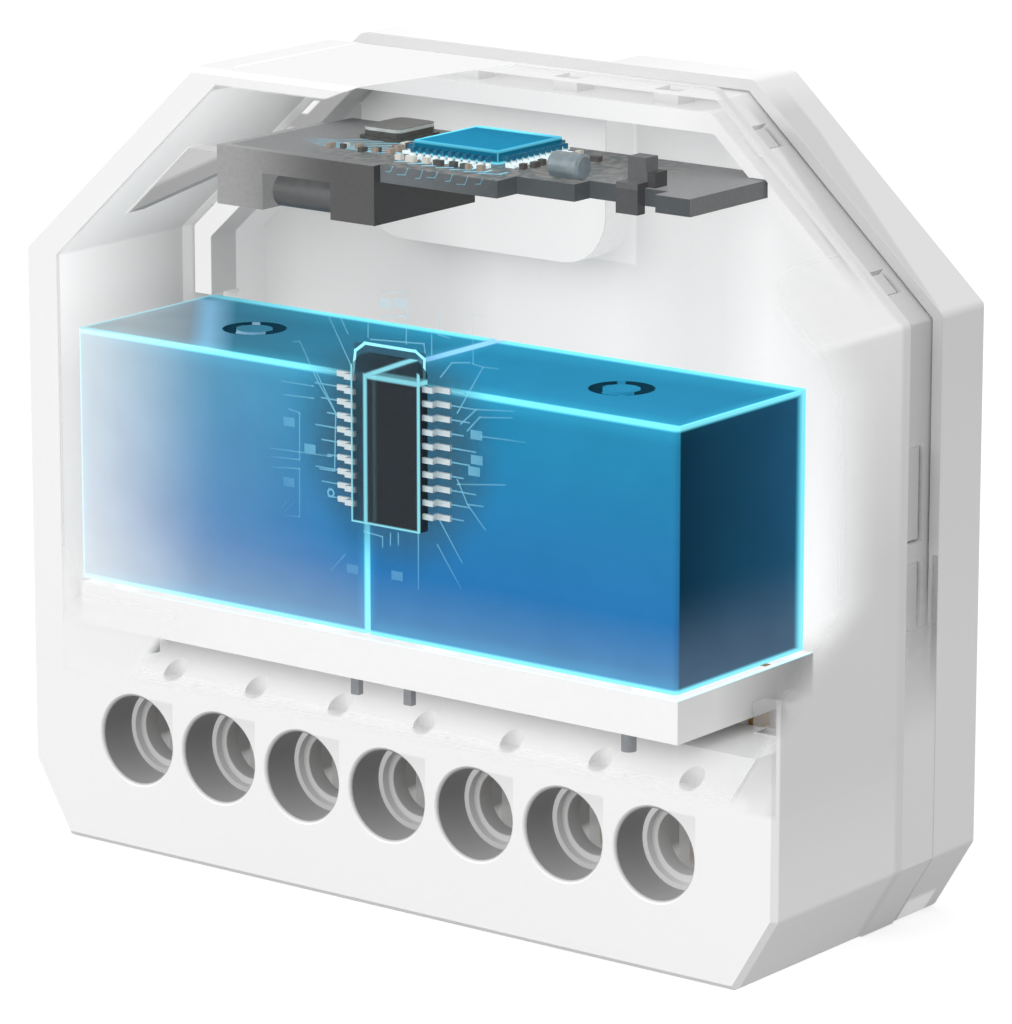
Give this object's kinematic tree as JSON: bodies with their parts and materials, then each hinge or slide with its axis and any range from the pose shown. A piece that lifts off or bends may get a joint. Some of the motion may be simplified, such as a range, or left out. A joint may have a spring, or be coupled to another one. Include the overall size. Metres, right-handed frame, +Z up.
{
  "type": "smart relay module",
  "caption": "Octagonal in-wall smart relay module: snapped case, cage screw terminals along its foot, clapper relays on a power board and a radio board under the roof.",
  "frame": {"origin": "middle of the case's underside", "axes": "+X along the terminal row to the right, +Y from the front face to the back, +Z up"},
  "size_m": [0.043, 0.016, 0.0378],
  "materials": {
    "case_white": "moulded, fine satin, clear towards the top",
    "cover_white": "moulded, fine satin",
    "block_white": "moulded, satin",
    "bar_copper": "stamped and bent",
    "power_board": "white solder mask",
    "relay_blue": "moulded, smooth",
    "relay_base": "moulded",
    "tinned": "tinned",
    "iron": "soft iron, plated",
    "bobbin": "moulded",
    "winding": "enamelled copper wire",
    "contact": "spring bronze with silver buttons",
    "film": "clear polyimide film with printed tracks",
    "chip_dark": "moulded epoxy",
    "radio_board": "dark solder mask",
    "carrier": "moulded",
    "ferrite": "sintered",
    "chip_blue": "moulded, lit edges",
    "can": "drawn lid",
    "passive": "fired",
    "screw_steel": "zinc plated",
    "cage_steel": "nickel plated"
  },
  "bodies": {
    "module": {"front_housing": "case_white", "rear_cover": "cover_white", "terminal_block": "block_white", "contact_bars": "bar_copper", "power_board": "power_board", "flex_circuit": "film", "metering_chip": "chip_dark", "metering_leads": "tinned", "radio_board": "radio_board", "board_carrier": "carrier", "choke": "ferrite", "processor": "chip_blue", "processor_leads": "tinned", "crystal_can": "can", "storage_capacitor": "can", "board_connector": "carrier", "board_passives": "passive", "relay_case_left": "relay_blue", "relay_base_left": "relay_base", "relay_pins_left": "tinned", "relay_yoke_left": "iron", "relay_bobbin_left": "bobbin", "relay_coil_left": "winding", "fixed_contact_left": "contact", "relay_case_right": "relay_blue", "relay_base_right": "relay_base", "relay_pins_right": "tinned", "relay_yoke_right": "iron", "relay_bobbin_right": "bobbin", "relay_coil_right": "winding", "fixed_contact_right": "contact"},
    "screw_1": {"terminal_screw_1": "screw_steel"},
    "cage_1": {"clamp_cage_1": "cage_steel"},
    "screw_2": {"terminal_screw_2": "screw_steel"},
    "cage_2": {"clamp_cage_2": "cage_steel"},
    "screw_3": {"terminal_screw_3": "screw_steel"},
    "cage_3": {"clamp_cage_3": "cage_steel"},
    "screw_4": {"terminal_screw_4": "screw_steel"},
    "cage_4": {"clamp_cage_4": "cage_steel"},
    "screw_5": {"terminal_screw_5": "screw_steel"},
    "cage_5": {"clamp_cage_5": "cage_steel"},
    "screw_6": {"terminal_screw_6": "screw_steel"},
    "cage_6": {"clamp_cage_6": "cage_steel"},
    "screw_7": {"terminal_screw_7": "screw_steel"},
    "cage_7": {"clamp_cage_7": "cage_steel"},
    "armature_left": {"relay_armature_left": "iron", "contact_arm_left": "contact"},
    "armature_right": {"relay_armature_right": "iron", "contact_arm_right": "contact"}
  },
  "joints": [
    {"name": "screw_turn_1", "type": "hinge", "parent": "module", "child": "screw_1", "pos_m": [-0.015, -0.0016, 0.002], "axis": [0, 0, 1], "range_deg": [0, 1260]},
    {"name": "cage_lift_1", "type": "slide", "parent": "module", "child": "cage_1", "axis": [0, 0, 1], "range_m": [-0.00157, 0]},
    {"name": "screw_turn_2", "type": "hinge", "parent": "module", "child": "screw_2", "pos_m": [-0.01, -0.0016, 0.002], "axis": [0, 0, 1], "range_deg": [0, 1260]},
    {"name": "cage_lift_2", "type": "slide", "parent": "module", "child": "cage_2", "axis": [0, 0, 1], "range_m": [-0.00157, 0]},
    {"name": "screw_turn_3", "type": "hinge", "parent": "module", "child": "screw_3", "pos_m": [-0.005, -0.0016, 0.002], "axis": [0, 0, 1], "range_deg": [0, 1260]},
    {"name": "cage_lift_3", "type": "slide", "parent": "module", "child": "cage_3", "axis": [0, 0, 1], "range_m": [-0.00157, 0]},
    {"name": "screw_turn_4", "type": "hinge", "parent": "module", "child": "screw_4", "pos_m": [0, -0.0016, 0.002], "axis": [0, 0, 1], "range_deg": [0, 1260]},
    {"name": "cage_lift_4", "type": "slide", "parent": "module", "child": "cage_4", "axis": [0, 0, 1], "range_m": [-0.00157, 0]},
    {"name": "screw_turn_5", "type": "hinge", "parent": "module", "child": "screw_5", "pos_m": [0.005, -0.0016, 0.002], "axis": [0, 0, 1], "range_deg": [0, 1260]},
    {"name": "cage_lift_5", "type": "slide", "parent": "module", "child": "cage_5", "axis": [0, 0, 1], "range_m": [-0.00157, 0]},
    {"name": "screw_turn_6", "type": "hinge", "parent": "module", "child": "screw_6", "pos_m": [0.01, -0.0016, 0.002], "axis": [0, 0, 1], "range_deg": [0, 1260]},
    {"name": "cage_lift_6", "type": "slide", "parent": "module", "child": "cage_6", "axis": [0, 0, 1], "range_m": [-0.00157, 0]},
    {"name": "screw_turn_7", "type": "hinge", "parent": "module", "child": "screw_7", "pos_m": [0.015, -0.0016, 0.002], "axis": [0, 0, 1], "range_deg": [0, 1260]},
    {"name": "cage_lift_7", "type": "slide", "parent": "module", "child": "cage_7", "axis": [0, 0, 1], "range_m": [-0.00157, 0]},
    {"name": "armature_pull_left", "type": "hinge", "parent": "module", "child": "armature_left", "pos_m": [-0.0045, -0.001, 0.02169], "axis": [0, -1, 0], "range_deg": [0, 4], "stiffness_Nm_per_rad": 0.02},
    {"name": "armature_pull_right", "type": "hinge", "parent": "module", "child": "armature_right", "pos_m": [-0.0009, -0.001, 0.02169], "axis": [0, 1, 0], "range_deg": [0, 4], "stiffness_Nm_per_rad": 0.02}
  ],
  "couplings": [
    {"joint": "screw_turn_1", "follows": "cage_lift_1", "rad_per_m": -13963},
    {"joint": "screw_turn_2", "follows": "cage_lift_2", "rad_per_m": -13963},
    {"joint": "screw_turn_3", "follows": "cage_lift_3", "rad_per_m": -13963},
    {"joint": "screw_turn_4", "follows": "cage_lift_4", "rad_per_m": -13963},
    {"joint": "screw_turn_5", "follows": "cage_lift_5", "rad_per_m": -13963},
    {"joint": "screw_turn_6", "follows": "cage_lift_6", "rad_per_m": -13963},
    {"joint": "screw_turn_7", "follows": "cage_lift_7", "rad_per_m": -13963}
  ]
}
